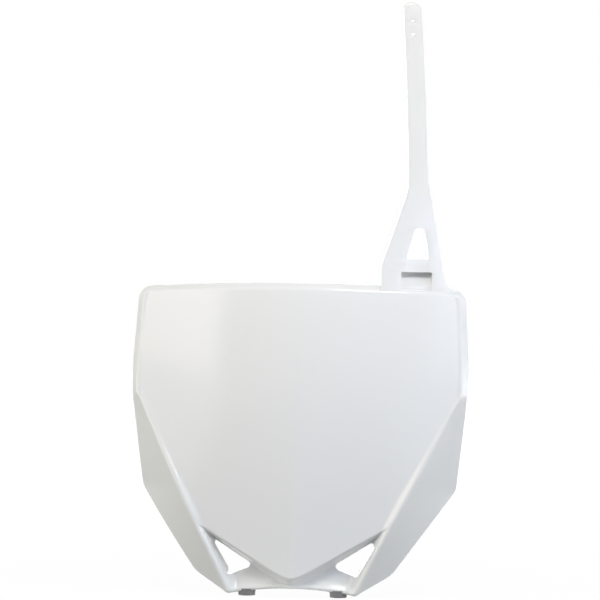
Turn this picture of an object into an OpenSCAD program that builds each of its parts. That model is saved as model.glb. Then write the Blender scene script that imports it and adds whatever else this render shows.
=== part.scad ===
// Racing number board: one white moulding that fits on the front of an off-road motorbike.
// A crowned panel folds back along two creases into side flanks, a vented chin lies behind
// its pointed lip, two pegs locate it below, and a strap loops over the handlebar above.
// +X is to the right, +Y to the rear and +Z up. The origin lies midway between the peg ends.

/* [Panel] */
// Greatest width of the panel
panel_w = 242; // [210:1:280]
// Width across the top corners
panel_top_w = 234; // [200:1:260]
// Height of the top corners
panel_h = 217; // [190:1:250]
// Height of the widest point
widest_z = 152; // [145:1:175]
// Radius of the top corners
corner_r = 9; // [5:0.5:16]
// Rise of the top edge at its middle
top_crown = 3.8; // [0:0.2:10]
// Thickness of the wall
wall = 2.4; // [1.8:0.1:3.2]
// Width of the margin that rolls back at the edges
edge_roll = 3.5; // [2.5:0.1:5]
// Depth of the rim that is turned back along the top
rim_depth = 6; // [3:0.5:12]

/* [Face] */
// How far the pointed lip stands in front of the pegs
nose_reach = 15.5; // [10:0.5:24]
// Backward lean of the face, in degrees
lean = 7; // [2:0.5:12]
// How far the face falls back at its sides near the top
crown_depth = 15; // [8:0.5:24]
// How far the folded lower face falls back over the same width
fold_depth = 10; // [5:0.5:18]
// Softness of the ridge down the middle of the lower face
ridge_soft = 9; // [4:0.5:20]

/* [Lip and chin] */
// Height of the point of the lip
nose_z = 13; // [11:0.5:18]
// Height of the lip corners
lip_z = 48.5; // [40:0.5:56]
// Distance from the middle to a lip corner
lip_x = 65; // [55:0.5:67]
// Softness of the point of the lip
nose_soft = 6; // [3:0.5:10]
// Slope of the wall under the lip, as depth for each millimetre down
lip_wall_slope = 2.3; // [1.6:0.05:2.6]
// Place of the chin behind the lip, forward of the pegs
chin_y = -1; // [-4:0.5:2]
// How far the chin sweeps forward to its lower edge
chin_sweep = 6; // [2:0.5:9]
// Rise of the lower edge at its middle
arch_rise = 4; // [1:0.5:5]
// Depth of the shelf behind the lower edge
shelf_depth = 18; // [14:0.5:30]
// How far the shelf's back corners stand in from the lower tips
shelf_inset = 5; // [0:0.5:6]

/* [Flanks] */
// Half width at the lower tips
tip_x = 44.5; // [42:0.5:50]
// Height of the lower tips
tip_z = 1.5; // [1:0.1:2]
// How far the lower tips stand in front of the pegs
tip_reach = 9; // [6:0.5:14]
// Half width at the knees
knee_x = 69.6; // [62:0.5:76]
// Height of the knees
knee_z = 16.3; // [13:0.5:20]
// Half width at the shoulders
shoulder_x = 112.3; // [104:0.5:116]
// Height of the shoulders
shoulder_z = 75; // [66:0.5:84]
// Height at which the creases run out at the sides
crease_top_z = 142; // [125:1:150]
// How far the creases stand proud of the face at the lip corners
crease_rise = 4.5; // [2:0.5:8]
// Width of the rounding along the creases
crease_round = 6; // [4:0.5:8]
// Slope of the wall inside each crease
blade_slope = 1.35; // [1:0.05:1.8]
// Angle of the flanks at the shoulders and above
flank_angle = 43; // [30:1:50]
// Angle of the flanks at the lower tips
flank_tip_angle = 26; // [15:1:35]

/* [Vents] */
// Distance from the middle to the inner corner of a vent
vent_inner_x = 27.4; // [24:0.2:32]
// Height of the inner corner of a vent
vent_inner_z = 21.2; // [19:0.2:24]
// Distance from the middle to the top corner of a vent
vent_top_x = 62.6; // [56:0.2:63]
// Height of the top corner of a vent
vent_top_z = 43.6; // [38:0.2:44]
// Distance from the middle to the lower corner of a vent
vent_low_x = 45.7; // [41:0.2:46]
// Height of the lower corner of a vent
vent_low_z = 14.3; // [13:0.1:17]
// Radius of the vents' corners
vent_r = 2.4; // [1:0.1:3]
// How far the outer wall of each vent is carried back, as a stiffening rib
vent_rib = 6; // [2:0.5:8]

/* [Pegs] */
// Diameter of a peg
peg_d = 12; // [8:0.5:14]
// Distance between the pegs' axes
peg_gap = 65; // [50:1:68]
// Width of the bevel round a peg's end
peg_bevel = 0.4; // [0.2:0.1:0.6]
// Length of the straight part of a peg, up to its flared root
peg_straight = 2; // [1.6:0.1:2.2]
// Height of the gussets that brace the shelf over the pegs
gusset_h = 11; // [6:0.5:12]
// Thickness of a gusset
gusset_t = 2.2; // [1.6:0.1:3]

/* [Strap] */
// Place of the strap across the panel
strap_x = 83; // [70:0.5:84]
// Width of the strap at its root
strap_w = 13.4; // [10:0.1:16]
// Width of the strap at its tip
strap_tip_w = 12.4; // [9:0.1:14]
// Thickness of the strap and its legs
strap_t = 2.6; // [2:0.1:3.4]
// Height of the strap above the top corners
strap_rise = 199; // [160:1:215]
// Radius of the strap's forward curve
strap_curve_r = 300; // [280:5:500]
// How far the strap leans to the middle at its tip
strap_lean = 2.4; // [0:0.2:6]
// Radius of the corners of the tip
tip_r = 5.2; // [3:0.1:6]
// Diameter of the two holes that button the strap
hole_d = 3.2; // [2.6:0.1:4]
// Distance from the tip to the first hole, along the strap
hole_inset = 13.5; // [9:0.5:20]
// Distance between the two holes, along the strap
hole_gap = 10; // [7:0.5:16]

/* [Strap base] */
// Height above the top corners at which the legs meet the strap
leg_rise = 72; // [64:1:84]
// Distance from the strap's middle to the outer edge of the inboard leg
leg_inboard = 25.4; // [21:0.2:28]
// Distance from the strap's middle to the outer edge of the outboard leg
leg_outboard = 20.3; // [17:0.2:22]
// Height of the upright foot of the inboard leg
foot_rise = 17; // [10:0.5:22]
// Radius that blends the outboard leg into the top edge
leg_fillet = 12; // [6:0.5:14]
// Height of the foot of the window between the legs
window_rise = 21.6; // [20:0.2:26]
// Height above its foot at which the window's sides would meet
window_h = 35.5; // [30:0.5:42]
// Half width of the window at its foot
window_half_w = 7.4; // [5:0.2:9]
// Radius of the window's top
window_r = 4; // [1.5:0.1:4.2]
// Width of the pocket under the bridge between the legs
pocket_w = 21.5; // [14:0.5:24]
// Height of the pocket
pocket_h = 10.5; // [8:0.5:12]
// Depth of the pocket
pocket_depth = 8.5; // [5:0.5:12]
// How far the pocket's mouth drops in front of the panel's top edge
pocket_lap = 2.6; // [0.5:0.1:3]

/* [Button] */
// Diameter of the button's head, behind the pocket
button_d = 4.6; // [4.2:0.1:5.4]
// Diameter of the button's neck
neck_d = 3; // [2.4:0.1:3.4]
// Length of the button's neck
neck_len = 3.2; // [2.8:0.1:5]
// Thickness of the button's head
button_t = 1.8; // [1.4:0.1:2.6]

/* [Hidden] */
half_w = panel_w / 2;
half_top = panel_top_w / 2;

// Ordinary blends. A soft minimum rounds a hollow edge and a soft maximum a proud one.
function mix(a, b, t) = a + (b - a) * t;
function clamp01(t) = max(0, min(1, t));
function ease(t) = let (c = clamp01(t)) c * c * (3 - 2 * c);
function soft_min(a, b, k) = let (h = max(k - abs(a - b), 0) / k) min(a, b) - h * h * k / 4;
function soft_max(a, b, k) = -soft_min(-a, -b, k);
function line_x(z, x0, z0, x1, z1) = x0 + (x1 - x0) * (z - z0) / (z1 - z0);

// Half width of the outline at height z, below the top corners.
knee_soft = 2.5;
shoulder_soft = 1.5;
widest_soft = 4;
function outline_x(z) =
    soft_min(
        soft_min(
            soft_min(line_x(z, tip_x, tip_z, knee_x, knee_z),
                     line_x(z, knee_x, knee_z, shoulder_x, shoulder_z), knee_soft),
            line_x(z, shoulder_x, shoulder_z, half_w, widest_z), shoulder_soft),
        line_x(z, half_w, widest_z, half_top, panel_h), widest_soft);

// The same with the top corners rounded off.
corner_z = panel_h - corner_r;
function edge_x(z) =
    z <= corner_z ? outline_x(z)
    : outline_x(z) - corner_r + sqrt(max(0, corner_r * corner_r - (z - corner_z) * (z - corner_z)));

// Half width of the crease line.
crease_start = 1.5;
function crease_t(z) = (z - tip_z) / (crease_top_z - tip_z);
function crease_x(z) =
    let (free = mix(tip_x - crease_start, outline_x(crease_top_z) - edge_roll, crease_t(z)))
    z >= crease_top_z ? edge_x(z) - edge_roll : min(free, edge_x(z) - edge_roll);

// The lower edge, and the edge of the pointed lip with its inverse.
function arch_z(x) = tip_z + arch_rise * (1 - pow(min(abs(x), tip_x) / tip_x, 2));
lip_rate = (lip_z - nose_z) / (sqrt(lip_x * lip_x + nose_soft * nose_soft) - nose_soft);
function lip_edge_z(x) = nose_z + lip_rate * (sqrt(x * x + nose_soft * nose_soft) - nose_soft);
function lip_edge_x(z) =
    z <= nose_z ? 0 : sqrt(pow((z - nose_z) / lip_rate + nose_soft, 2) - nose_soft * nose_soft);

// Depth of the main face: a fold with a soft ridge below, which melts into a round crown above.
function fold_share(x) =
    let (s = ridge_soft / half_w) (sqrt(pow(x / half_w, 2) + s * s) - s) / (sqrt(1 + s * s) - s);
function face_y(x, z) =
    -nose_reach + (z - nose_z) * tan(lean)
    + mix(fold_depth * fold_share(x), crown_depth * pow(x / half_w, 2),
          ease((z - lip_z) / (crease_top_z - lip_z)));

// Depth of the crease line, proud of the face above the lip corners.
function crease_rise_at(z) = crease_rise * (1 - ease((z - lip_z) / (crease_top_z - lip_z)));
function crease_y(z) =
    z < lip_z ? mix(-tip_reach, face_y(crease_x(lip_z), lip_z) - crease_rise, (z - tip_z) / (lip_z - tip_z))
    : face_y(crease_x(z), z) - crease_rise_at(z);

// Depth of the chin, of the pocket under the lip and of the whole front surface.
chin_sweep_h = 16;
pocket_soft = 2;
foot_soft = 5;
function chin_depth(x, z) = chin_y - chin_sweep * pow(1 - clamp01((z - arch_z(x)) / chin_sweep_h), 2);
function pocket_y(x, z) =
    let (drop = lip_edge_z(x) - z)
    drop <= 0 ? face_y(x, z)
    : soft_min(face_y(x, z) + drop * lip_wall_slope, chin_depth(x, z), pocket_soft);
function flank_slope(z) = tan(mix(flank_tip_angle, flank_angle, clamp01(z / shoulder_z)));
function crease_soft(z) = mix(crease_round, crease_round / 4, ease((z - lip_z) / (crease_top_z - lip_z)));
function top_z(x) = panel_h + top_crown * (1 - pow(x / half_w, 2));
function front_y(x, z) =
    let (a = abs(x),
         inside = soft_min(pocket_y(a, z), crease_y(z) + blade_slope * (crease_x(z) - a), foot_soft),
         flank = crease_y(z) + flank_slope(z) * (a - crease_x(z)),
         rolled = face_y(a, z) + tan(flank_angle) * (z - top_z(a) + edge_roll))
    soft_max(soft_max(inside, flank, crease_soft(z)), rolled, crease_round / 4);

// Columns of the surface in one half, drawn up to the lip, the foot of its wall and the crease.
lip_drop = 5.2;
foot_w = 7.5;
face_cols = 6;
wall_cols = 3;
chin_cols = 4;
blade_cols = 3;
round_cols = 3;
flank_cols = 3;
function spread(a, b, n) = [for (i = [1:n]) mix(a, b, i / n)];
function half_columns(z) =
    let (c = crease_x(z),
         r = min(crease_round * 0.45, (edge_x(z) - c) * 0.6),
         foot = c - foot_w,
         above = ease((z - lip_z) / (shoulder_z - lip_z)),
         f = mix(min(max(lip_edge_x(z + lip_drop), 5), foot - 2), 0.80 * foot, above),
         v = mix(min(max(lip_edge_x(z), 2.5), f - 2), 0.66 * foot, above))
    concat([0], spread(0, v, face_cols), spread(v, f, wall_cols), spread(f, foot, chin_cols),
           spread(foot, c - r, blade_cols), spread(c - r, c + r, round_cols),
           spread(c + r, edge_x(z), flank_cols));
function columns(z) =
    let (h = half_columns(z), n = len(h)) [for (i = [-(n - 1):n - 1]) i < 0 ? -h[-i] : h[i]];

// Heights of the rows, each measured at the outline.
row_z = concat(
    [tip_z], spread(tip_z, nose_z, 5), spread(nose_z, lip_z, 9), spread(lip_z, shoulder_z, 4),
    spread(shoulder_z, crease_top_z, 6), spread(crease_top_z, corner_z, 5),
    [for (i = [1:4]) corner_z + corner_r * sin(90 * i / 4)]);
function row_lift(x, z) =
    z < nose_z ? (arch_z(x) - tip_z) * (1 - (z - tip_z) / (nose_z - tip_z))
    : z > crease_top_z ? (top_z(x) - panel_h) * (z - crease_top_z) / (panel_h - crease_top_z) : 0;

// Points of the front skin, and of the back skin one wall behind it. The shelf is turned back
// under the lower edge and the rim over the top edge.
turn_h = 8;
step = 0.5;
function steepness(x, z) =
    sqrt(1 + pow((front_y(x + step, z) - front_y(x - step, z)) / (2 * step), 2)
           + pow((front_y(x, z + step) - front_y(x, z - step)) / (2 * step), 2));

// Extra depth of the wall at the outer edge of a vent.
function rib_depth(x, z) =
    let (d = crease_x(z) - abs(x))
    vent_rib * ease((d - 0.8) / 1.2) * ease((7.2 - d) / 1.2)
        * ease((z - vent_low_z + 3) / 3) * ease((vent_top_z + 4 - z) / 4);
function front_row(zr) = [for (x = columns(zr)) let (z = zr + row_lift(x, zr)) [x, front_y(x, z), z]];
function back_row(zr) =
    [for (p = front_row(zr))
        let (up = wall * ease((arch_z(p.x) + turn_h - p.z) / turn_h),
             down = wall * ease((p.z - top_z(p.x) + turn_h) / turn_h))
        [p.x, p.y + wall * min(steepness(p.x, min(p.z, top_z(p.x) - edge_roll)), 1.9)
                  + rib_depth(p.x, p.z), p.z + up - down]];
shelf_steps = [1, 0.66, 0.33];
function shelf_row(t, lift) =
    [for (p = front_row(tip_z))
        [p.x * (1 - t * shelf_inset / tip_x), mix(p.y + wall, chin_y - chin_sweep + shelf_depth, t), p.z + lift]];
function rim_row(t, drop) =
    [for (p = front_row(panel_h)) [p.x, p.y + wall + rim_depth * t, p.z - drop]];

front_skin = concat(
    [for (t = shelf_steps) shelf_row(t, 0)],
    [for (z = row_z) front_row(z)],
    [rim_row(0.5, 0), rim_row(1, 0)]);
back_skin = concat(
    [for (t = shelf_steps) shelf_row(t, wall)],
    [for (z = row_z) back_row(z)],
    [rim_row(0.5, wall), rim_row(1, wall)]);

// One closed solid between two skins of points that have the same rows and columns.
module skins_solid(front, back) {
    rows = len(front);
    cols = len(front[0]);
    back_start = rows * cols;
    middle = (cols - 1) / 2;
    quads = concat(
        [for (r = [0:rows - 2], c = [0:cols - 2])
            let (a = r * cols + c, q = [a, a + cols, a + cols + 1, a + 1])
            c < middle ? [q[1], q[2], q[3], q[0]] : q],
        [for (r = [0:rows - 2], c = [0:cols - 2])
            let (a = back_start + r * cols + c, q = [a, a + 1, a + cols + 1, a + cols])
            c < middle ? [q[1], q[2], q[3], q[0]] : q],
        [for (c = [0:cols - 2]) [c, c + 1, back_start + c + 1, back_start + c]],
        [for (c = [0:cols - 2])
            let (a = (rows - 1) * cols + c) [a, back_start + a, back_start + a + 1, a + 1]],
        [for (r = [0:rows - 2])
            let (a = r * cols) [a, back_start + a, back_start + a + cols, a + cols]],
        [for (r = [0:rows - 2])
            let (a = r * cols + cols - 1) [a, a + cols, back_start + a + cols, back_start + a]]);
    polyhedron(
        points = concat([for (row = front) each row], [for (row = back) each row]),
        faces = [for (q = quads) each [[q[0], q[1], q[2]], [q[0], q[2], q[3]]]],
        convexity = 10);
}

module panel() {
    skins_solid(front_skin, back_skin);
}

// A closed outline whose corners [x, z, radius] are rounded by arcs.
arc_steps = 6;
function unit(v) = v / norm(v);
function rounded(corners) =
    let (n = len(corners))
    [for (i = [0:n - 1])
        let (c = corners[i], p = [c.x, c.y], before = corners[(i + n - 1) % n], after = corners[(i + 1) % n],
             a = unit([before.x, before.y] - p), b = unit([after.x, after.y] - p),
             h = acos(a * b) / 2, centre = p + unit(a + b) * c.z / sin(h),
             u = p + a * c.z / tan(h) - centre, v = p + b * c.z / tan(h) - centre, w = 180 - 2 * h)
        each (c.z == 0 ? [p]
            : [for (k = [0:arc_steps]) centre + (sin(w - w * k / arc_steps) * u + sin(w * k / arc_steps) * v) / sin(w)])];

// An outline in the X-Z plane, drawn out along Y from the front to the back.
module through(corners, y0, y1) {
    translate([0, y1, 0])
    rotate([90, 0, 0])
    linear_extrude(y1 - y0)
    polygon(rounded(corners));
}

module vent() {
    through([[vent_inner_x, vent_inner_z, vent_r], [vent_top_x, vent_top_z, vent_r],
             [vent_low_x, vent_low_z, vent_r]], -nose_reach, shelf_depth + nose_reach);
}

// A peg hangs from the shelf, and a gusset ties the shelf to the back of the chin above it.
peg_flare = 0.4;
module peg() {
    root_z = arch_z(peg_gap / 2 + peg_d / 2) + wall;
    rotate_extrude($fn = 64)
    polygon([[0, 0], [peg_d / 2 - peg_bevel, 0], [peg_d / 2, peg_bevel], [peg_d / 2, peg_straight],
             [peg_d / 2 + peg_flare, root_z], [0, root_z]]);
}

module gusset() {
    x = peg_gap / 2;
    foot_z = arch_z(x) + wall / 2;
    back_y = chin_y - chin_sweep + shelf_depth - wall;
    translate([-gusset_t / 2, 0, 0])
    rotate([90, 0, 90])
    linear_extrude(gusset_t)
    polygon([[chin_depth(x, foot_z) + wall / 2, foot_z], [back_y, foot_z],
             [chin_depth(x, foot_z + gusset_h) + wall * 1.4, foot_z + gusset_h],
             [chin_depth(x, foot_z + gusset_h) + wall / 2, foot_z + gusset_h]]);
}

// The strap is a slice of a slab that starts flush with the panel's top edge, square to its
// crown, and curves forward as it rises.
strap_turn = atan(2 * crown_depth * strap_x / (half_w * half_w));
strap_root_y = face_y(0, panel_h) + crown_depth * pow(strap_x / half_w, 2);
strap_axis_z = panel_h + strap_curve_r * sin(lean);
strap_tip_z = panel_h + strap_rise;
strap_tip_angle = asin((strap_tip_z - strap_axis_z) / strap_curve_r);
strap_root_drop = 12;
strap_inset = 0.4;
module at_strap_axis() {
    translate([strap_x, strap_root_y, strap_axis_z])
    rotate([0, 0, strap_turn])
    translate([0, -strap_curve_r * cos(lean), 0])
    children();
}

slab_steps = 24;
slab_low = -lean - asin(strap_root_drop / strap_curve_r);
function slab_arc(r) =
    [for (i = [0:slab_steps])
        let (t = mix(slab_low, strap_tip_angle + 2, i / slab_steps)) [r * cos(t), r * sin(t)]];
function backwards(list) = [for (i = [len(list) - 1:-1:0]) list[i]];
module slab(set_back, thick) {
    inner = strap_curve_r + set_back;
    at_strap_axis()
    rotate([90, 0, 90])
    translate([0, 0, -slab_w / 2])
    linear_extrude(slab_w)
    polygon(concat(slab_arc(inner + thick), backwards(slab_arc(inner))));
}

strap_tip_x = strap_x - strap_lean;
leg_left = strap_x - leg_inboard;
leg_right = strap_x + leg_outboard;
leg_top_z = panel_h + leg_rise;
strap_foot_z = panel_h - strap_root_drop + 1;
strap_outline = [
    [leg_left, strap_foot_z, 0], [leg_left, panel_h + foot_rise, 15],
    [strap_x - strap_w / 2, leg_top_z, 40],
    [strap_tip_x - strap_tip_w / 2, strap_tip_z, tip_r], [strap_tip_x + strap_tip_w / 2, strap_tip_z, tip_r],
    [strap_x + strap_w / 2, leg_top_z + 6, 40],
    [leg_right, panel_h + 0.6, leg_fillet], [leg_right + leg_fillet * 0.76, panel_h - 1.2, 0],
    [leg_right + leg_fillet * 0.6, strap_foot_z, 0]];
slab_w = 2 * (max(leg_inboard, leg_outboard + leg_fillet) + 6);
front_reach = strap_curve_r / 2;

window_z = panel_h + window_rise;
window_shift = 1.2;
window_outline = [
    [strap_x - window_half_w, window_z, 0.6], [strap_x - window_half_w + 0.3, window_z + 4.5, 12],
    [strap_x + window_shift, window_z + window_h, window_r],
    [strap_x + window_half_w - 0.3, window_z + 8, 30], [strap_x + window_half_w, window_z, 0.6]];

// The pocket's floor starts at the top edge and slopes back until it ends under the bridge.
pocket_z = top_z(strap_x) + 0.3;
pocket_x = strap_x - 0.2;
block_wall = 2;
function strap_face_y(z) =
    strap_root_y - strap_curve_r * cos(lean) + sqrt(pow(strap_curve_r, 2) - pow(z - strap_axis_z, 2));
module pocket_block() {
    intersection() {
        slab(1, pocket_depth + block_wall);
        translate([pocket_x - pocket_w / 2 - block_wall, -front_reach, pocket_z - 2])
        cube([pocket_w + 2 * block_wall, 2 * front_reach, pocket_h + block_wall + 2]);
    }
}

module pocket_hollow() {
    y = strap_face_y(pocket_z);
    translate([pocket_x - pocket_w / 2, 0, 0])
    rotate([90, 0, 90])
    linear_extrude(pocket_w)
    polygon([[y - 9, pocket_z], [y, pocket_z], [y + pocket_depth * 0.4, pocket_z + pocket_h * 0.3],
             [y + pocket_depth, pocket_z + pocket_h], [y - 9, pocket_z + pocket_h]]);
}

module pocket_mouth() {
    translate([pocket_x - pocket_w / 2, -front_reach, pocket_z - pocket_lap])
    cube([pocket_w, 2 * front_reach, pocket_h + pocket_lap]);
}

module strap_hole(reach) {
    angle = strap_tip_angle - (hole_inset + reach) / strap_curve_r * 180 / PI;
    x = mix(strap_tip_x, strap_x, reach / strap_rise);
    y = (strap_curve_r + strap_inset + strap_t / 2) * cos(angle) - strap_curve_r * cos(lean);
    at_strap_axis()
    translate([(x - strap_x + y * sin(strap_turn)) / cos(strap_turn), 0, 0])
    rotate([angle, 0, 0])
    translate([0, strap_curve_r - 8, 0])
    rotate([-90, 0, 0])
    cylinder(h = 20, d = hole_d, $fn = 48);
}

module button() {
    z = pocket_z + pocket_h / 2;
    y = strap_face_y(z) + 1 + pocket_depth + block_wall - 0.5;
    translate([pocket_x, y, z])
    rotate([-90, 0, 0])
    rotate_extrude($fn = 48)
    polygon([[0, 0], [neck_d / 2, 0], [neck_d / 2, neck_len + 0.5], [button_d / 2, neck_len + 0.9],
             [button_d / 2, neck_len + 1], [neck_d / 2, neck_len + 0.5 + button_t],
             [0, neck_len + 0.5 + button_t]]);
}

module strap() {
    difference() {
        intersection() {
            slab(strap_inset, strap_t);
            through(strap_outline, -front_reach, front_reach);
        }
        through(window_outline, -front_reach, front_reach);
        pocket_mouth();
        for (reach = [0, hole_gap]) strap_hole(reach);
    }
}

module number_board() {
    color("white")
    difference() {
        union() {
            panel();
            strap();
            pocket_block();
            button();
            for (side = [-1, 1]) {
                translate([side * peg_gap / 2, 0, 0]) peg();
                translate([side * peg_gap / 2, 0, 0]) gusset();
            }
        }
        pocket_hollow();
        vent();
        mirror([1, 0, 0]) vent();
    }
}

number_board();
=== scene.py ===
# Dresses the racing number board: one white moulding with folded flanks, a vented chin,
# two pegs and a handlebar strap, in a white studio.
import math

import bpy
from mathutils import Matrix, Vector


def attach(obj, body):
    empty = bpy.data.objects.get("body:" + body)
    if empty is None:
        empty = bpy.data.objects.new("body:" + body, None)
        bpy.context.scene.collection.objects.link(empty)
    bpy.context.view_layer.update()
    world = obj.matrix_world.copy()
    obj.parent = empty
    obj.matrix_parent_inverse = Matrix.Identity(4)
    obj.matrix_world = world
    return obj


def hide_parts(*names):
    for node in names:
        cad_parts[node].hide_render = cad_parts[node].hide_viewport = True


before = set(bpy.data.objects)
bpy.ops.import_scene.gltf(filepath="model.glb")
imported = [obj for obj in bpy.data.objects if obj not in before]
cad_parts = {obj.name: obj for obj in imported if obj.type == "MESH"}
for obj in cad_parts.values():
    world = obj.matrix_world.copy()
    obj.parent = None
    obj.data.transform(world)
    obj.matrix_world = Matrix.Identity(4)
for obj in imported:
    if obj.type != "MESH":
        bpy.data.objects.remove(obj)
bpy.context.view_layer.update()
print("frame loaded")

mm = 0.001
# Differences below this are taken for none.
tiny = 1e-4


def mix(a, b, t):
    return a + (b - a) * t


def clamp01(t):
    return max(0.0, min(1.0, t))


def ease(t):
    t = clamp01(t)
    return t * t * (3 - 2 * t)


def softMin(a, b, k):
    h = max(k - abs(a - b), 0) / k
    return min(a, b) - h * h * k / 4


def softMax(a, b, k):
    return -softMin(-a, -b, k)


def lineX(z, low, high):
    return low[0] + (high[0] - low[0]) * (z - low[1]) / (high[1] - low[1])


def spread(a, b, n):
    return [mix(a, b, i / n) for i in range(1, n + 1)]


# An outline whose corners (x, z, radius) are rounded by arcs.
def rounded(corners, steps):
    points = []
    for i, (x, z, r) in enumerate(corners):
        p = Vector((x, z))
        before = Vector(corners[i - 1][:2])
        after = Vector(corners[(i + 1) % len(corners)][:2])
        a = (before - p).normalized()
        b = (after - p).normalized()
        if r == 0:
            points.append(tuple(p))
            continue
        half = math.acos(max(-1, min(1, a.dot(b)))) / 2
        centre = p + (a + b).normalized() * r / math.sin(half)
        u = p + a * r / math.tan(half) - centre
        v = p + b * r / math.tan(half) - centre
        w = math.pi - 2 * half
        for k in range(steps + 1):
            t = k / steps
            points.append(tuple(centre + (u * math.sin(w - w * t) + v * math.sin(w * t)) / math.sin(w)))
    return points


def deselect():
    if bpy.context.mode != "OBJECT":
        bpy.ops.object.mode_set(mode="OBJECT")
    bpy.ops.object.select_all(action="DESELECT")


def pick(piece):
    deselect()
    piece.select_set(True)
    bpy.context.view_layer.objects.active = piece


# Opens a piece in edit mode with the chosen faces or edges selected.
def edit(piece, choose=None, mode="FACE"):
    pick(piece)
    bpy.ops.object.mode_set(mode="EDIT")
    bpy.ops.mesh.select_mode(type=mode)
    bpy.ops.mesh.select_all(action="SELECT" if choose is None else "DESELECT")
    if choose is None:
        return
    bpy.ops.object.mode_set(mode="OBJECT")
    mesh = piece.data
    if mode == "FACE":
        for face in mesh.polygons:
            face.select = choose(face)
    else:
        for edge in mesh.edges:
            ends = [mesh.vertices[i].co for i in edge.vertices]
            edge.select = choose(ends)
    bpy.ops.object.mode_set(mode="EDIT")


# Puts a piece's place, turn and scale into its mesh.
def settle(piece):
    pick(piece)
    bpy.ops.object.transform_apply(location=True, rotation=True, scale=True)


def outward(piece):
    edit(piece)
    bpy.ops.mesh.normals_make_consistent(inside=False)
    bpy.ops.object.mode_set(mode="OBJECT")


def applyModifier(piece, kind, **settings):
    pick(piece)
    modifier = piece.modifiers.new(kind.title(), kind)
    for key, value in settings.items():
        setattr(modifier, key, value)
    bpy.ops.object.modifier_apply(modifier=modifier.name)


def roundEdges(piece, width, segments, angle):
    applyModifier(piece, "BEVEL", width=width * mm, segments=segments, limit_method="ANGLE",
                  angle_limit=math.radians(angle), use_clamp_overlap=True, harden_normals=False)


def cut(piece, tool):
    applyModifier(piece, "BOOLEAN", operation="DIFFERENCE", solver="EXACT", object=tool)
    bpy.data.objects.remove(tool)


def smooth(piece, angle):
    pick(piece)
    bpy.ops.object.shade_smooth_by_angle(angle=math.radians(angle))


# Draws the selected faces out along Y.
def drawOut(depth):
    bpy.ops.mesh.extrude_region_move(TRANSFORM_OT_translate={"value": (0, depth * mm, 0)})


# A flat plate from an outline of (x, z) points in mm, drawn back along Y.
def plate(name, outline, front, depth):
    deselect()
    bpy.ops.mesh.primitive_circle_add(vertices=len(outline), radius=mm, fill_type="NGON")
    piece = bpy.context.object
    piece.name = name
    for vertex, (x, z) in zip(piece.data.vertices, outline):
        vertex.co = (x * mm, front * mm, z * mm)
    edit(piece)
    drawOut(depth)
    settle(piece)
    outward(piece)
    return piece


# A cube between two corners in mm.
def block(name, low, high):
    deselect()
    middle = [(a + b) / 2 * mm for a, b in zip(low, high)]
    bpy.ops.mesh.primitive_cube_add(size=1, location=middle)
    piece = bpy.context.object
    piece.name = name
    piece.scale = [(b - a) * mm for a, b in zip(low, high)]
    settle(piece)
    return piece


# Cuts a piece all through at each place, so that it can bend there.
def crosscut(piece, places, normal):
    for place in places:
        edit(piece)
        bpy.ops.mesh.bisect(plane_co=place, plane_no=normal)
    bpy.ops.object.mode_set(mode="OBJECT")


# Moves every point by a function of its place in mm.
def bend(piece, form):
    for vertex in piece.data.vertices:
        x, y, z = vertex.co / mm
        vertex.co = Vector(form(x, y, z)) * mm


# Gives a finished piece its plastic, its body and its material slot.
def ready(piece, finish):
    piece.data.materials.clear()
    piece.data.materials.append(finish)
    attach(piece, "root")


# The camera stands a little to the right of straight ahead, and is rolled as the photo is.
view = {
    "yaw": 7.0,
    "roll": 0.9,
    "distance": 2.0,
    "lens": 170.2,
    "aimX": 2.1 * mm,
    "aimZ": 208.8 * mm,
}


def makeCamera():
    yaw, roll = math.radians(view["yaw"]), math.radians(view["roll"])
    right = Vector((math.cos(yaw), math.sin(yaw), 0))
    ahead = Vector((-math.sin(yaw), math.cos(yaw), 0))
    up = Vector((0, 0, 1))
    place = right * view["aimX"] + up * view["aimZ"] - ahead * view["distance"]
    turnedRight = right * math.cos(roll) + up * math.sin(roll)
    turnedUp = up * math.cos(roll) - right * math.sin(roll)
    deselect()
    bpy.ops.object.camera_add(location=place)
    camera = bpy.context.object
    turn = Matrix((turnedRight, turnedUp, -ahead)).transposed()
    camera.rotation_euler = turn.to_euler()
    camera.data.lens = view["lens"]
    camera.data.sensor_width = 36
    camera.data.clip_end = 20
    bpy.context.scene.camera = camera


makeCamera()
print("camera placed")


# Wraps a node socket, so that maths on it adds Math nodes. An input of a new node is given
# by its label, or by i and its number.
class Shade:
    def __init__(self, tree, socket):
        self.tree, self.socket = tree, socket

    def node(self, kind, settings=None, out=0, **inputs):
        made = self.tree.nodes.new(kind)
        for key, value in (settings or {}).items():
            setattr(made, key, value)
        for key, value in inputs.items():
            numbered = key[0] == "i" and key[1:].isdigit()
            target = made.inputs[int(key[1:]) if numbered else key.replace("_", " ")]
            if isinstance(value, Shade):
                self.tree.links.new(value.socket, target)
            else:
                target.default_value = value
        return Shade(self.tree, made.outputs[out])

    def maths(self, operation, a, b=0.0):
        return self.node("ShaderNodeMath", {"operation": operation}, i0=a, i1=b)

    def __add__(self, other):
        return self.maths("ADD", self, other)

    __radd__ = __add__

    def __mul__(self, other):
        return self.maths("MULTIPLY", self, other)


def freshTree(material):
    material.use_nodes = True
    tree = material.node_tree
    tree.nodes.clear()
    return tree


plastic = {
    "colour": (0.815, 0.818, 0.822, 1),
    "deeper": (0.79, 0.795, 0.802, 1),
    "roughness": 0.12,
    "grain": 0.02,
}
# Painted shade: the pegs are moulded in the same white plastic, but are coloured dark grey to stand in
# for the shade that falls on them under the shelf.
pegPaintedShade = {
    "colour": (0.2, 0.2, 0.2, 1),
    "deeper": (0.185, 0.186, 0.188, 1),
    "roughness": 0.4,
    "grain": 0.05,
}
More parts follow.
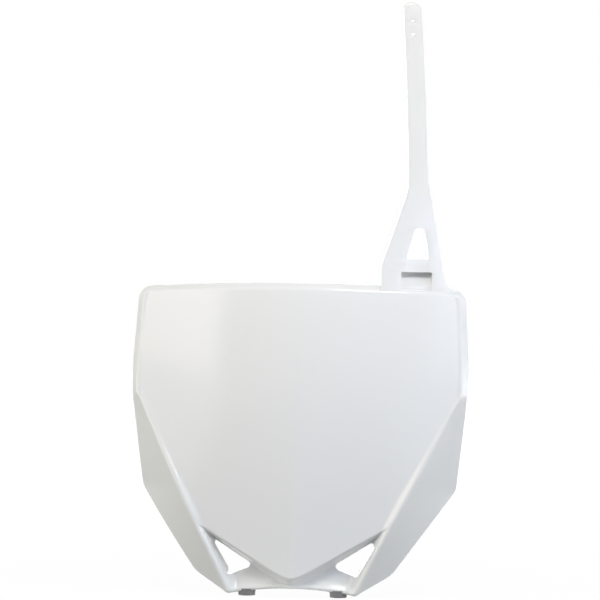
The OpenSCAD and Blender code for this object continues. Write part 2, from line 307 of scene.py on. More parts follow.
# Both drift in colour, cloud over in gloss and carry the mould's fine grain.
grain = {
    "driftScale": 9.0,
    "cloudScale": 60.0,
    "cloudRange": 0.06,
    "mouldScale": 1400.0,
    "mouldHeight": 0.0001,
    "ior": 1.5,
}


def plasticOf(name, look):
    material = bpy.data.materials.new(name)
    tree = freshTree(material)
    start = Shade(tree, None)
    place = start.node("ShaderNodeTexCoord", out=3)
    drift = start.node("ShaderNodeTexNoise", Vector=place, Scale=grain["driftScale"], Detail=2.0)
    colour = start.node("ShaderNodeMix", {"data_type": "RGBA"}, out=2, Factor=drift,
                        i6=look["colour"], i7=look["deeper"])
    cloud = start.node("ShaderNodeTexNoise", Vector=place, Scale=grain["cloudScale"], Detail=3.0)
    mould = start.node("ShaderNodeTexNoise", Vector=place, Scale=grain["mouldScale"], Detail=2.0)
    bump = start.node("ShaderNodeBump", Height=mould, Strength=look["grain"],
                      Distance=grain["mouldHeight"])
    rough = look["roughness"] - grain["cloudRange"] / 2 + cloud * grain["cloudRange"]
    shader = start.node("ShaderNodeBsdfPrincipled", Base_Color=colour, Roughness=rough,
                        IOR=grain["ior"], Normal=bump)
    tree.nodes.new("ShaderNodeOutputMaterial")
    tree.links.new(shader.socket, tree.nodes[-1].inputs["Surface"])
    return material


plasticFinish = plasticOf("white_plastic", plastic)
# The pegs' dark grey finish is painted shade.
pegShadeFinish = plasticOf("peg_painted_shade", pegPaintedShade)
print("finish made")


# The board's form, in mm, as functions of the place across it and the height. Names that end in
# X, Y or Z are places, those in Soft or Round say how gently two faces meet.
board = {
    "halfWidth": 121, "halfTop": 117, "topZ": 217, "widestZ": 152, "cornerR": 9, "crown": 3.8,
    "wall": 2.4, "wallCap": 1.9, "edgeRoll": 3.5, "rimDepth": 6,
    "noseReach": 15.5, "lean": 7, "crownDepth": 15, "foldDepth": 10, "ridgeSoft": 4,
    "noseZ": 13, "lipZ": 48.5, "lipX": 65, "noseSoft": 6, "lipSlope": 2.3, "lipRound": 1.2,
    "chinY": -1, "chinSoft": 2, "chinSweep": 6, "sweepH": 16, "archRise": 4, "shelfBack": 11,
    "tip": (44.5, 1.5), "tipReach": 9, "knee": (69.6, 16.3), "shoulder": (112.3, 75),
    "kneeSoft": 2.5, "shoulderSoft": 1.5, "widestSoft": 4,
    "creaseTopZ": 142, "creaseIn": 1.5, "creaseRise": 4.5, "creaseEase": 22, "creaseRound": 6,
    "bladeSlope": 1.35, "bladeSoft": 5, "flankAngle": 43, "tipAngle": 26,
    "lowerRound": 1.6, "upperRound": 1.5, "shelfFlat": 16, "shelfIn": 5, "rimFlat": 6, "endEase": 8,
    "lowerProbe": 2.5, "upperProbe": 0.6, "tiltLimits": (-0.3, 1.2),
}
cornerZ = board["topZ"] - board["cornerR"]
lipRun = math.hypot(board["lipX"], board["noseSoft"]) - board["noseSoft"]
lipRate = (board["lipZ"] - board["noseZ"]) / lipRun


def halfOutline(z):
    widest, top = (board["halfWidth"], board["widestZ"]), (board["halfTop"], board["topZ"])
    low = softMin(lineX(z, board["tip"], board["knee"]),
                  lineX(z, board["knee"], board["shoulder"]), board["kneeSoft"])
    low = softMin(low, lineX(z, board["shoulder"], widest), board["shoulderSoft"])
    return softMin(low, lineX(z, widest, top), board["widestSoft"])


def halfEdge(z):
    if z <= cornerZ:
        return halfOutline(z)
    up = min(z - cornerZ, board["cornerR"])
    return halfOutline(z) - board["cornerR"] + math.sqrt(board["cornerR"] ** 2 - up * up)


def creaseX(z):
    if z >= board["creaseTopZ"]:
        return halfEdge(z) - board["edgeRoll"]
    end = halfOutline(board["creaseTopZ"]) - board["edgeRoll"]
    free = lineX(z, (board["tip"][0] - board["creaseIn"], board["tip"][1]), (end, board["creaseTopZ"]))
    return min(free, halfEdge(z) - board["edgeRoll"])


def archZ(x):
    tipX, tipZ = board["tip"]
    return tipZ + board["archRise"] * (1 - (min(abs(x), tipX) / tipX) ** 2)


def topZ(x):
    return board["topZ"] + board["crown"] * (1 - (x / board["halfWidth"]) ** 2)


def lipZ(x):
    return board["noseZ"] + lipRate * (math.hypot(x, board["noseSoft"]) - board["noseSoft"])


# How far the folded lower face has turned into the round crown.
def crownShare(z):
    return ease((z - board["lipZ"]) / (board["creaseTopZ"] - board["lipZ"]))


def faceY(x, z):
    s = board["ridgeSoft"] / board["halfWidth"]
    across = x / board["halfWidth"]
    fold = (math.hypot(across, s) - s) / (math.hypot(1, s) - s)
    return (-board["noseReach"] + (z - board["noseZ"]) * math.tan(math.radians(board["lean"]))
            + mix(board["foldDepth"] * fold, board["crownDepth"] * across ** 2, crownShare(z)))


def creaseLine(z):
    if z < board["lipZ"]:
        high = faceY(creaseX(board["lipZ"]), board["lipZ"]) - board["creaseRise"]
        return mix(-board["tipReach"], high, (z - board["tip"][1]) / (board["lipZ"] - board["tip"][1]))
    return faceY(creaseX(z), z) - board["creaseRise"] * (1 - crownShare(z))


# The same with its kink at the lip's corners eased out.
def easedCrease(z):
    reach = board["creaseEase"] * ease((z - board["tip"][1]) / board["creaseEase"])
    places = [reach * (i / 4 - 1) for i in range(9)]
    return sum(creaseLine(z + place) for place in places) / len(places)


# The eased crease is read off a table, since every point of the sheet asks for it.
creaseStart, creaseStep, creaseCount = -20, 0.25, 1100
creaseTable = [easedCrease(creaseStart + creaseStep * i) for i in range(creaseCount)]


def creaseY(z):
    at = (z - creaseStart) / creaseStep
    i = int(at)
    return mix(creaseTable[i], creaseTable[i + 1], at - i)


def insideY(x, z):
    drop = lipZ(x) - z
    if drop < -board["lipRound"]:
        return faceY(x, z)
    sweep = 1 - clamp01((z - archZ(x)) / board["sweepH"])
    chin = board["chinY"] - board["chinSweep"] * sweep ** 2
    wall = faceY(x, z) + softMax(drop, 0, board["lipRound"]) * board["lipSlope"]
    return softMin(wall, chin, board["chinSoft"])


def frontY(x, z):
    a = abs(x)
    c, cy = creaseX(z), creaseY(z)
    inside = softMin(insideY(a, z), cy + board["bladeSlope"] * (c - a), board["bladeSoft"])
    angle = mix(board["tipAngle"], board["flankAngle"], clamp01(z / board["shoulder"][1]))
    flank = cy + math.tan(math.radians(angle)) * (a - c)
    rollSlope = math.tan(math.radians(board["flankAngle"]))
    rolled = faceY(a, z) + rollSlope * (z - topZ(a) + board["edgeRoll"])
    tight = board["creaseRound"] / 4
    soft = mix(board["creaseRound"], tight, crownShare(z))
    return softMax(softMax(inside, flank, soft), rolled, tight)


# The wall's depth along Y, which grows where the face slopes.
def wallDepth(x, z):
    step = 0.5
    z = min(z, topZ(x) - board["edgeRoll"])
    slopeX = (frontY(x + step, z) - frontY(x - step, z)) / (2 * step)
    slopeZ = (frontY(x, z + step) - frontY(x, z - step)) / (2 * step)
    return board["wall"] * min(math.sqrt(1 + slopeX ** 2 + slopeZ ** 2), board["wallCap"])


vent = {
    "corners": [(27.4, 21.2, 2.4), (62.6, 43.6, 2.4), (45.7, 14.3, 2.4)],
    "ribDeep": 6, "ribLean": 1.6,
    "ribFrom": 0.8, "ribStart": 1.2, "ribTo": 9, "ribLow": 0.5, "ribFade": 4,
}


# The outer wall of each vent is a rib, carried further back and in towards the middle.
def ribShare(x, z):
    inward = creaseX(z) - abs(x)
    low, high = vent["corners"][2][1], vent["corners"][1][1]
    fade = vent["ribFade"]
    return (ease((inward - vent["ribFrom"]) / vent["ribStart"]) * ease((vent["ribTo"] - inward) / fade)
            * ease((z - low - vent["ribLow"]) / fade) * ease((high + fade - z) / fade))


# The sheet lies flat at first. Its lower end folds back into the shelf, its upper end into the rim.
# Each fold is its end's height, the face's tilt there, and the fold's flat start and length.
def lowerFold(x):
    low = archZ(x)
    probe, (least, most) = board["lowerProbe"], board["tiltLimits"]
    slope = frontY(x, low + (probe + 1)) - frontY(x, low + probe)
    tilt = math.atan(max(least, min(most, slope)))
    r = board["lowerRound"]
    return low, tilt, low + r * (1 + math.sin(tilt)), r * (tilt + math.pi / 2)


def upperFold(x):
    top = topZ(x)
    probe = board["upperProbe"]
    tilt = math.atan(frontY(x, top - probe) - frontY(x, top - (probe + 1)))
    r = board["upperRound"]
    return top, tilt, top - r * (1 - math.sin(tilt)), r * (math.pi / 2 - tilt)


# Where a point of the flat sheet goes, on its front or on its back.
def sheetPoint(x, flat, back):
    low, tilt, start, arc = lowerFold(x)
    endEase = board["endEase"]
    if flat < start - tiny:
        t = start - flat
        r = board["lowerRound"]
        flatShare = clamp01((t - arc) / board["shelfFlat"])
        tapered = x * (1 - flatShare * board["shelfIn"] / board["tip"][0])
        y0 = frontY(x, start)
        yc = y0 + r * math.cos(tilt)
        if back:
            lift = board["wall"] * ease((low + endEase - start) / endEase)
            rise = start + lift - low - board["wall"]
            share = clamp01(t / (arc + board["shelfFlat"]))
            height = low + board["wall"] + rise * (1 - ease(t / arc))
            return tapered, mix(y0 + wallDepth(x, start), board["shelfBack"], share), height
        if t < arc:
            angle = t / r - tilt
            return x, yc - r * math.cos(angle), low + r - r * math.sin(angle)
        return tapered, mix(yc, board["shelfBack"], flatShare), low
    top, tilt, end, arc = upperFold(x)
    if flat > end + tiny:
        t = flat - end
        r = board["upperRound"]
        y0 = frontY(x, end)
        yc = y0 + r * math.cos(tilt)
        rimBack = frontY(x, top) + board["wall"] + board["rimDepth"]
        if back:
            fall = board["wall"] * ease((end - top + endEase) / endEase)
            drop = end - fall - top + board["wall"]
            share = clamp01(t / (arc + board["rimFlat"]))
            height = top - board["wall"] + drop * (1 - ease(t / arc))
            return x, mix(y0 + wallDepth(x, end), rimBack, share), height
        if t < arc:
            angle = tilt + t / r
            return x, yc - r * math.cos(angle), top - r + r * math.sin(angle)
        return x, mix(yc, rimBack, clamp01((t - arc) / board["rimFlat"])), top
    y = frontY(x, flat)
    if not back:
        return x, y, flat
    up = board["wall"] * ease((low + endEase - flat) / endEase)
    down = board["wall"] * ease((flat - top + endEase) / endEase)
    rib = ribShare(x, flat)
    inward = x - math.copysign(rib * vent["ribLean"], x)
    return inward, y + wallDepth(x, flat) + rib * vent["ribDeep"], flat + up - down


# Columns run from the middle to the outline and crowd together at the crease.
nearCrease = [9, 7.8, 6.8, 6, 5.2, 4.4, 3.6, 2.9, 2.3, 1.7, 1.1, 0.5, 0, -0.5, -1.1, -1.7, -2.3, -2.9]
innerColumns, outerColumns = 34, 8


def halfColumns(z):
    c, e = creaseX(z), halfEdge(z)
    room = min(1, 0.8 * (e - c) / -nearCrease[-1])
    shares = [i / innerColumns for i in range(innerColumns)]
    inner = [t * (0.6 + 0.4 * t) * (c - nearCrease[0]) for t in shares]
    turn = [c - d if d > 0 else c - d * room for d in nearCrease]
    return inner + turn + spread(turn[-1], e, outerColumns)


# The place across where the lip runs into the crease, to a fiftieth of a millimetre.
creaseEnd = next(x / 50 for x in range(3000, 4000) if creaseX(lipZ(x / 50)) < x / 50)
lipEndZ = lipZ(creaseEnd)
# Rows crowd together on the wall under the lip and just over it.
wallDrops = [6, 5.5, 5, 4.6, 4.2, 3.8, 3.3, 2.7, 2, 1.4, 1, 0.6, 0.3, 0]
lipRises = [0.3, 0.6, 0.9, 1.3, 2, 3, 4]
chinRows, faceRows = 18, 46
cornerTurns = (10, 20, 30, 34, 38, 42, 46, 52, 60, 70, 80, 90)


# Each row is its height at the crease, or None where its place gives that, and its place: a function
# from the share of the way to the crease and from x to the flat height.
def rowsOfSheet():
    rows = []
    tipZ = board["tip"][1]
    tipX = creaseX(tipZ)

    def lowerRow(x, turn, shelf):
        _, _, start, arc = lowerFold(x)
        return start - arc * turn - shelf * board["shelfFlat"]

    def upperRow(x, turn, rim):
        _, _, end, arc = upperFold(x)
        return end + arc * turn + rim * board["rimFlat"]

    for share in (1, 0.75, 0.5, 0.25, 0.05):
        rows.append((tipZ, lambda q, x, s=share: lowerRow(x, 1, s)))
    low, tilt, _, arc = lowerFold(board["tip"][0])
    for share in (0.84, 0.67, 0.5, 0.33, 0.16):
        folded = low + board["lowerRound"] * (1 - math.sin(share * arc / board["lowerRound"] - tilt))
        rows.append((folded, lambda q, x, s=share: lowerRow(x, s, 0)))

    def startRow(q):
        return lowerFold(q * tipX)[2]

    def wallRow(q, drop):
        lip = lipZ(q * creaseEnd)
        room = lip - startRow(q)
        return lip - drop * room / (room + 2)

    for i in range(chinRows):
        rows.append((None, lambda q, x, v=i / chinRows: mix(startRow(q), wallRow(q, wallDrops[0]), v)))
    for drop in wallDrops:
        rows.append((None, lambda q, x, d=drop: wallRow(q, d)))
    for rise in lipRises:
        rows.append((None, lambda q, x, r=rise: lipZ(q * creaseEnd) + r))
    startZ = lipEndZ + lipRises[-1]
    heights = spread(startZ, cornerZ, faceRows)
    heights += [cornerZ + board["cornerR"] * math.sin(math.radians(angle)) for angle in cornerTurns]

    def faceRow(q, x, z):
        s = (z - startZ) / (board["topZ"] - startZ)
        upperShare = clamp01((z - board["creaseTopZ"]) / (board["topZ"] - board["creaseTopZ"]))
        lift = (topZ(x) - board["topZ"]) * upperShare
        high = mix(lipZ(q * creaseEnd) + lipRises[-1], board["topZ"], s) + lift
        cornerShare = clamp01((z - cornerZ) / board["cornerR"])
        return high - (topZ(x) - upperFold(x)[2]) * cornerShare

    for z in heights:
        rows.append((z, lambda q, x, z=z: faceRow(q, x, z)))
    for share in (0.25, 0.5, 0.75, 1):
        rows.append((board["topZ"], lambda q, x, s=share: upperRow(x, s, 0)))
    for share in (0.15, 0.5, 1):
        rows.append((board["topZ"], lambda q, x, s=share: upperRow(x, 1, s)))
    return rows


def makeSheet():
    flat = []
    for height, place in rowsOfSheet():
        z = place(1.0, creaseX(board["tip"][1])) if height is None else height
        c = creaseX(z)
        row = [(x, place(min(x / c, 1.0), x)) for x in halfColumns(z)]
        flat.append([(-x, h) for x, h in reversed(row[1:])] + row)
    across, up = len(flat[0]), len(flat)
    deselect()
    bpy.ops.mesh.primitive_grid_add(x_subdivisions=across - 1, y_subdivisions=up - 1, size=0.2)
    sheet = bpy.context.object
    sheet.name = "board_panel"
    places = [vertex.co.copy() for vertex in sheet.data.vertices]
    order = sorted(range(across * up), key=lambda i: (round(places[i].y, 5), places[i].x))
    for k, i in enumerate(order):
        x, z = flat[k // across][k % across]
        sheet.data.vertices[i].co = (x * mm, 0, z * mm)
    return sheet


def middleOf(face):
    return Vector((face.center.x / mm, face.center.z / mm))


# The faces near each side of a vent are cut along it, and then those inside are taken out.
def cutVents(sheet):
    margin, shortest, farthest = 3.5, 0.05, 40
    for side in (-1, 1):
        outline = [Vector((side * x, z)) for x, z in rounded(vent["corners"], 6)]
        middle = sum(outline, Vector((0, 0))) / len(outline)
        sides = list(zip(outline, outline[1:] + outline[:1]))
        for p, r in sides:
            length = (r - p).length
            if length < shortest:
                continue
            run = (r - p).normalized()
            normal = Vector((run.y, -run.x))

            def close(face):
                at = middleOf(face) - p
                return -margin < at.dot(run) < length + margin and abs(at.dot(normal)) < margin

            edit(sheet, close)
            bpy.ops.mesh.bisect(plane_co=(p.x * mm, 0, p.y * mm), plane_no=(normal.x, 0, normal.y))

        def inside(face):
            at = middleOf(face)
            if (at - middle).length > farthest:
                return False
            turns = [(r - p).x * (at - p).y - (r - p).y * (at - p).x for p, r in sides]
            return all(t > -tiny for t in turns) or all(t < tiny for t in turns)

        edit(sheet, inside)
        bpy.ops.mesh.delete(type="FACE")
        bpy.ops.object.mode_set(mode="OBJECT")


# The sheet is doubled, and its front and back take their places in the form.
def formSheet(sheet):
    edit(sheet)
    bpy.ops.mesh.remove_doubles(threshold=0.12 * mm)
    bpy.ops.mesh.select_all(action="SELECT")
    bpy.ops.mesh.extrude_region()
    bpy.ops.object.mode_set(mode="OBJECT")
    for vertex in sheet.data.vertices:
        vertex.co = Vector(sheetPoint(vertex.co.x / mm, vertex.co.z / mm, vertex.select)) * mm
    outward(sheet)


panel = makeSheet()
cutVents(panel)
formSheet(panel)
roundEdges(panel, 0.4, 2, 65)
smooth(panel, 40)
ready(panel, plasticFinish)
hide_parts("number_board")
print("panel formed", len(panel.data.polygons))


# The strap is cut flat, with lengths along it, then bent forward.
strap = {
    "x": 83, "width": 13.4, "tipWidth": 12.4, "thick": 2.6, "rise": 199, "bendR": 300, "lean": 2.4,
    "tipR": 5.2, "tipDrop": 1.45, "holeR": 1.6, "holeInset": 13.5, "holeGap": 10, "inset": 0.2,
    "legRise": 72, "legStep": 6, "legIn": 25.4, "legOut": 20.3, "legR": 40,
    "footRise": 17, "footR": 15, "footDrop": 5, "fillet": 12,
    "windowRise": 21.6, "windowH": 35.5, "windowHalf": 7.4, "windowShift": 1.2, "windowR": 4,
    "bridgeStep": 0.35, "levelStep": 3,
}
# The pocket's block stands behind the strap, and its mouth is cut through the bridge.
pocket = {
    "width": 21.5, "height": 10.5, "depth": 8.5, "shift": 0.2, "lift": 0.3, "lap": 2.6, "mouthR": 0.8,
    "wall": 2, "taperFrom": 0.4, "taperTo": 0.6,
}
topEdge = board["topZ"]
strapTurn = math.atan(2 * board["crownDepth"] * strap["x"] / board["halfWidth"] ** 2)
axisZ = topEdge + strap["bendR"] * math.sin(math.radians(board["lean"]))
frontR = strap["bendR"] + strap["inset"]


# Length along the strap's front at height z.
def along(z):
    return frontR * math.asin((z - axisZ) / frontR)


def bendStrap(x, depth, length):
    angle = length / frontR
    reach = depth * math.cos(angle)
    forward = frontR * math.cos(angle) - strap["bendR"] * math.cos(math.radians(board["lean"]))
    y = (faceY(0, topEdge) + board["crownDepth"] * (x / board["halfWidth"]) ** 2
         + forward / math.cos(strapTurn))
    return (x - reach * math.sin(strapTurn), y + reach * math.cos(strapTurn),
            axisZ + (frontR + depth) * math.sin(angle))


def strapPlace(outline):
    return [(x, along(z)) for x, z in outline]


tipZ = topEdge + strap["rise"] - strap["tipDrop"]
tipX = strap["x"] - strap["lean"]
legTop = topEdge + strap["legRise"]
legLeft = strap["x"] - strap["legIn"]
legRight = strap["x"] + strap["legOut"]
footZ = topEdge - strap["footDrop"]
windowZ = topEdge + strap["windowRise"]
pocketZ = topZ(strap["x"]) + pocket["lift"]
pocketTop = pocketZ + pocket["height"]
pocketLeft = strap["x"] - pocket["shift"] - pocket["width"] / 2
pocketRight = pocketLeft + pocket["width"]
levels = [along(footZ + strap["levelStep"] * i) for i in range(1, 67)]


def makeStrap():
    tipHalf, strapHalf = strap["tipWidth"] / 2, strap["width"] / 2
    outline = rounded([
        (legLeft, footZ, 0), (legLeft, topEdge + strap["footRise"], strap["footR"]),
        (strap["x"] - strapHalf, legTop, strap["legR"]),
        (tipX - tipHalf, tipZ, strap["tipR"]), (tipX + tipHalf, tipZ, strap["tipR"]),
        (strap["x"] + strapHalf, legTop + strap["legStep"], strap["legR"]),
        (legRight, topEdge + 0.6, strap["fillet"]),
        (legRight + strap["fillet"] * 0.76, topEdge - 1.2, 0),
        (legRight + strap["fillet"] * 0.6, footZ, 0)], 12)
    piece = plate("board_strap", strapPlace(outline), 0, strap["thick"])
    left, right = strap["x"] - strap["windowHalf"], strap["x"] + strap["windowHalf"]
    window = rounded([
        (left, windowZ, 0.6), (left + 0.3, windowZ + 4.5, 12),
        (strap["x"] + strap["windowShift"], windowZ + strap["windowH"], strap["windowR"]),
        (right - 0.3, windowZ + 8, 30), (right, windowZ, 0.6)], 12)
    cut(piece, plate("window", strapPlace(window), -5, 12))
    mouthLow, r = pocketZ - pocket["lap"], pocket["mouthR"]
    mouth = rounded([(pocketLeft, mouthLow, r), (pocketLeft, pocketTop, r),
                     (pocketRight, pocketTop, r), (pocketRight, mouthLow, r)], 4)
    cut(piece, plate("mouth", strapPlace(mouth), -5, 12))
    low, high = along(pocketTop - 1), along(windowZ + 1)
    cut(piece, block("step", (left, -1, low), (right, strap["bridgeStep"], high)))
    for reach in (0, strap["holeGap"]):
        deselect()
        length = along(tipZ) - strap["holeInset"] - reach
        place = (mix(tipX, strap["x"], reach / strap["rise"]) * mm, 0, length * mm)
        bpy.ops.mesh.primitive_cylinder_add(vertices=32, radius=strap["holeR"] * mm, depth=0.012,
                                            location=place, rotation=(math.pi / 2, 0, 0))
        cut(piece, bpy.context.object)
    roundEdges(piece, 0.55, 3, 50)
    crosscut(piece, [(0, 0, level * mm) for level in levels], (0, 0, 1))
    bend(piece, bendStrap)
    outward(piece)
    smooth(piece, 35)
    return piece


ready(makeStrap(), plasticFinish)
print("strap bent")


# The hollow's floor starts flat at the mouth and then climbs to the back.
def makePocket():
    wall = pocket["wall"]
    piece = block("board_pocket", (pocketLeft - wall, 1, along(pocketZ - 2)),
                  (pocketRight + wall, 1 + pocket["depth"] + wall, along(pocketTop + wall)))
    hollow = block("hollow", (pocketLeft, -6, along(pocketZ)),
                   (pocketRight, pocket["depth"], along(pocketTop)))
    edit(hollow, lambda ends: all(p.y > mm and p.z < along(pocketZ + 2) * mm for p in ends), "EDGE")
    bpy.ops.transform.translate(value=(0, 0, (pocket["height"] - pocket["taperTo"]) * mm))
    bpy.ops.object.mode_set(mode="OBJECT")
    edit(hollow, lambda face: face.normal.z < -0.3)
    start = pocket["taperFrom"] * mm
    bpy.ops.mesh.bisect(plane_co=(0, start, 0), plane_no=(0, 1, 0))
    bpy.ops.object.mode_set(mode="OBJECT")
    for vertex in hollow.data.vertices:
        if abs(vertex.co.y - start) < 1e-6:
            vertex.co.z = along(pocketZ) * mm
    cut(piece, hollow)
    roundEdges(piece, 0.4, 2, 50)
    bend(piece, bendStrap)
    outward(piece)
    smooth(piece, 35)
    return piece


ready(makePocket(), plasticFinish)


# The button stands on the back of the pocket, for the strap's holes to snap on.
button = {"neckR": 1.5, "neckLen": 3.2, "headR": 2.3, "headT": 1.8, "sunk": 0.5}


def makeButton():
    z = pocketZ + pocket["height"] / 2
    depth = 1 + pocket["depth"] + pocket["wall"] - button["sunk"]
    back = bendStrap(strap["x"] - pocket["shift"], depth, along(z))
    neckLen = button["neckLen"] * mm
    deselect()
    bpy.ops.mesh.primitive_cylinder_add(vertices=40, radius=button["neckR"] * mm, depth=neckLen,
                                        location=(0, neckLen / 2, 0), rotation=(-math.pi / 2, 0, 0))
    piece = bpy.context.object
    piece.name = "board_button"
    settle(piece)
    edit(piece, lambda face: face.normal.y > 0.9)
    drawOut(0.3)
    grow = button["headR"] / button["neckR"]
    bpy.ops.transform.resize(value=(grow, 1, grow))
    drawOut(button["headT"] * 0.5)
    drawOut(button["headT"] * 0.33)
    bpy.ops.transform.resize(value=(0.7, 1, 0.7))
    bpy.ops.object.mode_set(mode="OBJECT")
    roundEdges(piece, 0.15, 2, 25)
    bend(piece, lambda x, y, h: (back[0] + x, back[1] + y, back[2] + h))
    outward(piece)
    smooth(piece, 35)
    return piece


ready(makeButton(), plasticFinish)


peg = {
    "radius": 6, "gap": 65, "bevel": 0.4, "straight": 2, "flare": 0.4, "inset": 3,
    "gussetH": 11, "gussetT": 2.2,
}


# A peg's foot is bevelled, and it widens a little above its straight part.
def makePeg(name, side):
    x = side * peg["gap"] / 2
    top = archZ(peg["gap"] / 2 + peg["radius"]) + board["wall"]
    deselect()
    bpy.ops.mesh.primitive_cylinder_add(vertices=64, radius=peg["radius"] * mm, depth=top * mm,
                                        location=(x * mm, 0, top / 2 * mm))
    piece = bpy.context.object
    piece.name = name
    settle(piece)
    crosscut(piece, [(0, 0, peg["straight"] * mm)], (0, 0, 1))
    edit(piece, lambda face: face.normal.z > 0.99)
    grow = 1 + peg["flare"] / peg["radius"]
    bpy.ops.transform.resize(value=(grow, grow, 1), center_override=(x * mm, 0, 0))
    edit(piece, lambda ends: all(p.z < 1e-5 for p in ends), "EDGE")
    bpy.ops.mesh.bevel(offset=peg["bevel"] * mm, segments=4)
    edit(piece, lambda face: face.normal.z < -0.99 and face.area > 1e-5)
    bpy.ops.mesh.inset(thickness=peg["inset"] * mm)
    bpy.ops.object.mode_set(mode="OBJECT")
    outward(piece)
    smooth(piece, 35)
    return piece


# A gusset stands on the shelf over its peg and leans on the back of the chin.
def makeGusset(name, side):
    x = peg["gap"] / 2
    foot = archZ(x) + board["wall"] / 2
    peak = foot + peg["gussetH"]
    back = board["shelfBack"] - board["wall"]
    near = frontY(x, foot + 2) + board["wall"] / 2
    high = frontY(x, peak) + board["wall"]
    outline = [(near, foot), (back, foot), (high + 1, peak), (high - 1, peak)]
    piece = plate(name, outline, 0, peg["gussetT"])
    bend(piece, lambda y, d, z: (side * x + d - peg["gussetT"] / 2, y, z))
    outward(piece)
    roundEdges(piece, 0.3, 2, 50)
    smooth(piece, 35)
    return piece


# Each peg takes the painted-shade finish, each gusset the plain white plastic.
for side, word in ((-1, "left"), (1, "right")):
    ready(makePeg("board_peg_" + word, side), pegShadeFinish)
    ready(makeGusset("board_gusset_" + word, side), plasticFinish)
print("pegs made")


# The floor is white to the camera, growing brighter with distance. It throws light up from a pale
# patch close to the object alone, and is dim beyond.
ground = {
    "size": 12, "drop": 0.0004,
    "white": 0.94, "glow": 1.01, "rise": 0.05, "riseCap": 0.09,
    "pale": (0.9, 0.9, 0.9, 1), "dim": (0.09, 0.09, 0.09, 1), "paleReach": 0.062,
}
# Each lamp has its place, what it faces, its width and height, its power and its colour.
studio = {
    "ambient": 0.18,
    "lamps": [
        ("left_low", (-1.7, -0.5, 0.2), (0, 0, 0.15), 0.9, 0.4, 8.6, (1, 0.98, 0.93)),
        ("left_high", (-1.7, -0.5, 0.9), (0, 0, 0.15), 0.9, 0.8, 4.8, (1, 0.95, 0.86)),
        ("right_low", (1.7, -0.5, 0.2), (0, 0, 0.15), 0.9, 0.4, 7.0, (1, 0.97, 0.93)),
        ("right_high", (1.7, -0.5, 0.9), (0, 0, 0.15), 0.9, 0.8, 6.2, (0.88, 0.91, 1)),
        ("left_wall", (-1.3, -0.75, 0.2), (0, 0, 0.15), 0.8, 0.4, 3.1, (0.9, 1, 0.88)),
        ("right_wall", (1.3, -0.75, 0.2), (0, 0, 0.15), 0.8, 0.4, 2.8, (0.94, 1, 0.94)),
        ("cool_wall", (1.3, -0.75, 0.9), (0, 0, 0.15), 0.8, 0.8, 2.5, (0.38, 0.66, 1)),
        ("top_front", (0, -0.6, 0.62), (0, 0, 0.3), 0.4, 0.2, 0.54, (0.92, 1, 0.95)),
        ("near_left", (-0.3, -0.35, 0.4), (0, 0, 0.25), 0.2, 0.3, 0.34, (1, 0.89, 0.85)),
        ("near_right", (0.3, -0.35, 0.4), (0, 0, 0.25), 0.2, 0.3, 0.3, (0.76, 0.82, 1)),
        ("strap_lamp", (0.1, -0.35, 0.5), (0.08, 0, 0.33), 0.15, 0.15, 0.78, (1, 0.93, 0.87)),
        ("rear_box", (-0.5, 1.5, 0.35), (0, 0, 0.2), 1.0, 0.6, 12, (1, 1, 1)),
    ],
    # Cards, which only show in the plastic's gloss.
    "cards": [
        ("left_card", (-1.394, -1.604, 0.77), (0, 0, 0.2), 1.45, 1.9, 9.0, (1, 0.97, 0.95)),
        ("right_card", (1.23, -1.823, 0.277), (0, 0, 0.2), 1.95, 1.0, 2.5, (0.7, 0.8, 1)),
        ("cool_card", (0.93, -1.99, 0.39), (0, 0, 0.2), 2.75, 1.9, 9.0, (0.02, 0.3, 1)),
    ],
}


# The cards are lamps that light nothing diffusely.
def makeLamps(lamps, onlyGloss):
    for name, place, aim, wide, high, power, colour in lamps:
        deselect()
        bpy.ops.object.light_add(type="AREA", location=place)
        lamp = bpy.context.object
        lamp.name = name
        lamp.rotation_euler = (Vector(aim) - Vector(place)).to_track_quat("-Z", "Y").to_euler()
        lamp.data.shape = "RECTANGLE"
        lamp.data.size, lamp.data.size_y = wide, high
        lamp.data.energy = power
        lamp.data.color = colour
        lamp.visible_diffuse = not onlyGloss


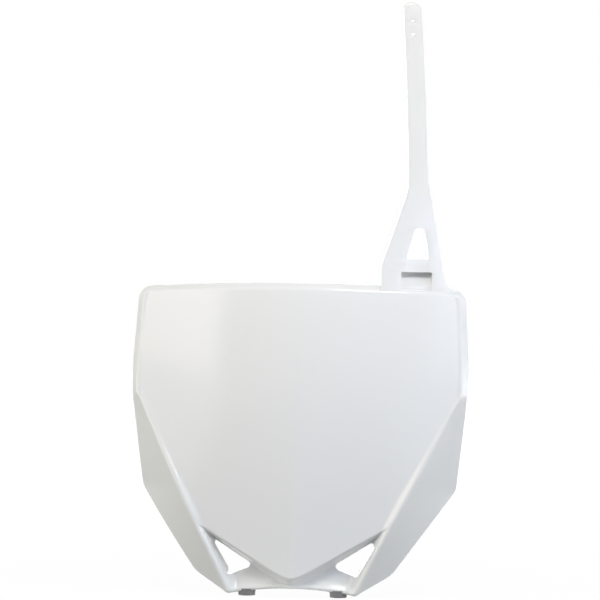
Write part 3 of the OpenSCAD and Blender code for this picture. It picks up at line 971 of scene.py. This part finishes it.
# One for the rays that see the white itself, nought for those that only gather light from it.
def seenDirectly(start):
    path = start.node("ShaderNodeLightPath")
    outs = path.socket.node.outputs
    kinds = ("Is Camera Ray", "Is Glossy Ray", "Is Transmission Ray")
    rays = [Shade(start.tree, outs[kind]) for kind in kinds]
    return start.maths("MINIMUM", rays[0] + rays[1] + rays[2], 1.0)


def makeWorld():
    world = bpy.data.worlds.new("studio")
    bpy.context.scene.world = world
    tree = freshTree(world)
    start = Shade(tree, None)
    plain = start.node("ShaderNodeBackground", Color=(1, 1, 1, 1), Strength=studio["ambient"])
    white = start.node("ShaderNodeBackground", Color=(1, 1, 1, 1), Strength=1.0)
    both = start.node("ShaderNodeMixShader", i0=seenDirectly(start), i1=plain, i2=white)
    output = tree.nodes.new("ShaderNodeOutputWorld")
    tree.links.new(both.socket, output.inputs["Surface"])


def makeFloor():
    deselect()
    bpy.ops.mesh.primitive_plane_add(size=ground["size"], location=(0, 0, -ground["drop"]))
    floor = bpy.context.object
    floor.name = "studio_floor"
    settle(floor)
    material = bpy.data.materials.new("floor_white")
    tree = freshTree(material)
    start = Shade(tree, None)
    place = start.node("ShaderNodeTexCoord", out=3)
    reach = start.node("ShaderNodeVectorMath", {"operation": "LENGTH"}, out=1, i0=place)
    dim = start.node("ShaderNodeBsdfDiffuse", Color=ground["dim"])
    pale = start.node("ShaderNodeBsdfDiffuse", Color=ground["pale"])
    away = start.maths("MINIMUM", reach * (1 / ground["paleReach"]), 1.0)
    plain = start.node("ShaderNodeMixShader", i0=away, i1=pale, i2=dim)
    bright = start.maths("MINIMUM", reach * ground["rise"], ground["riseCap"]) + ground["glow"]
    glow = start.node("ShaderNodeEmission", Color=bright, Strength=1.0)
    shown = start.node("ShaderNodeMixShader", i0=ground["white"], i1=pale, i2=glow)
    both = start.node("ShaderNodeMixShader", i0=seenDirectly(start), i1=plain, i2=shown)
    output = tree.nodes.new("ShaderNodeOutputMaterial")
    tree.links.new(both.socket, output.inputs["Surface"])
    floor.data.materials.append(material)


makeLamps(studio["lamps"], False)
makeLamps(studio["cards"], True)
makeWorld()
makeFloor()
bpy.context.scene.view_settings.view_transform = "Standard"
print("studio lit")

deselect()
